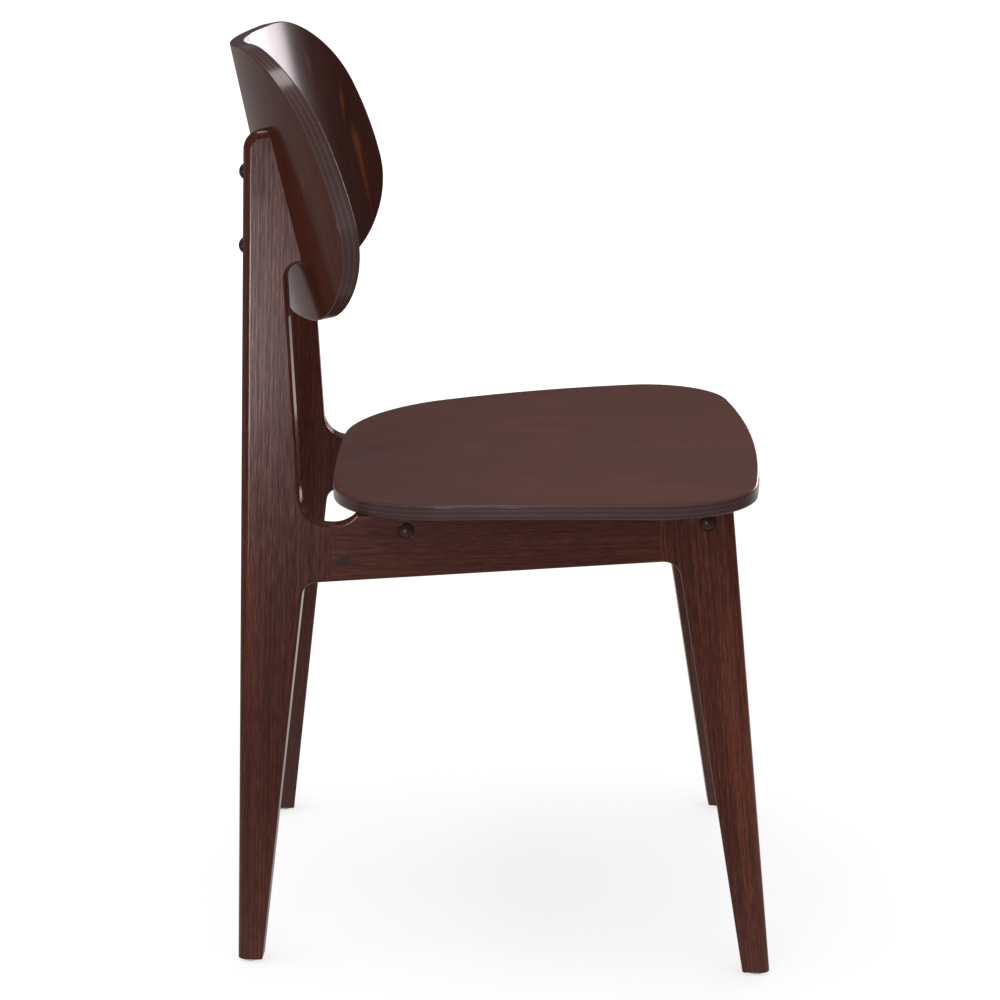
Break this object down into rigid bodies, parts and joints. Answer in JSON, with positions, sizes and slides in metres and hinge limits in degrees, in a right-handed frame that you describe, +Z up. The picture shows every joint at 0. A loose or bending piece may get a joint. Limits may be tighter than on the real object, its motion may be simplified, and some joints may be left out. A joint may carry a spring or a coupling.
{
  "type": "dining chair",
  "caption": "Armless wooden dining chair with a moulded plywood seat, a curved plywood backrest and slim tapered legs in flat side frames.",
  "frame": {"origin": "on the floor, under the centre of the chair's bounding box", "axes": "+Z up, the chair faces -Y, -X is the sitter's right"},
  "size_m": [0.4862, 0.4968, 0.8235],
  "materials": {
    "seat_plywood": "dark walnut stain under satin lacquer",
    "backrest_plywood": "dark walnut stain under satin lacquer",
    "rear_leg_beech": "dark walnut stain under satin lacquer",
    "front_leg_beech": "dark walnut stain under satin lacquer",
    "side_rail_beech": "dark walnut stain under satin lacquer",
    "cross_rail_beech": "dark walnut stain under satin lacquer",
    "dowel_beech": "raw beech",
    "cap_plastic": "dark brown satin",
    "zinc_steel": "zinc plated",
    "glide_nylon": "pale nylon"
  },
  "bodies": {
    "root": {"seat_panel": "seat_plywood", "backrest_panel": "backrest_plywood", "rear_leg_right": "rear_leg_beech", "rear_leg_left": "rear_leg_beech", "side_rail_right": "side_rail_beech", "side_rail_left": "side_rail_beech", "front_leg_right": "front_leg_beech", "front_leg_left": "front_leg_beech", "rear_cross_rail": "cross_rail_beech", "front_cross_rail": "cross_rail_beech", "rail_dowels": "dowel_beech", "cross_rail_dowels": "dowel_beech", "frame_bolts": "zinc_steel", "frame_bolt_caps": "cap_plastic", "barrel_nuts": "zinc_steel", "backrest_bolts": "zinc_steel", "backrest_inserts": "zinc_steel", "backrest_bolt_caps": "cap_plastic", "seat_screws": "zinc_steel", "glides": "glide_nylon", "glide_nails": "zinc_steel"}
  },
  "joints": []
}
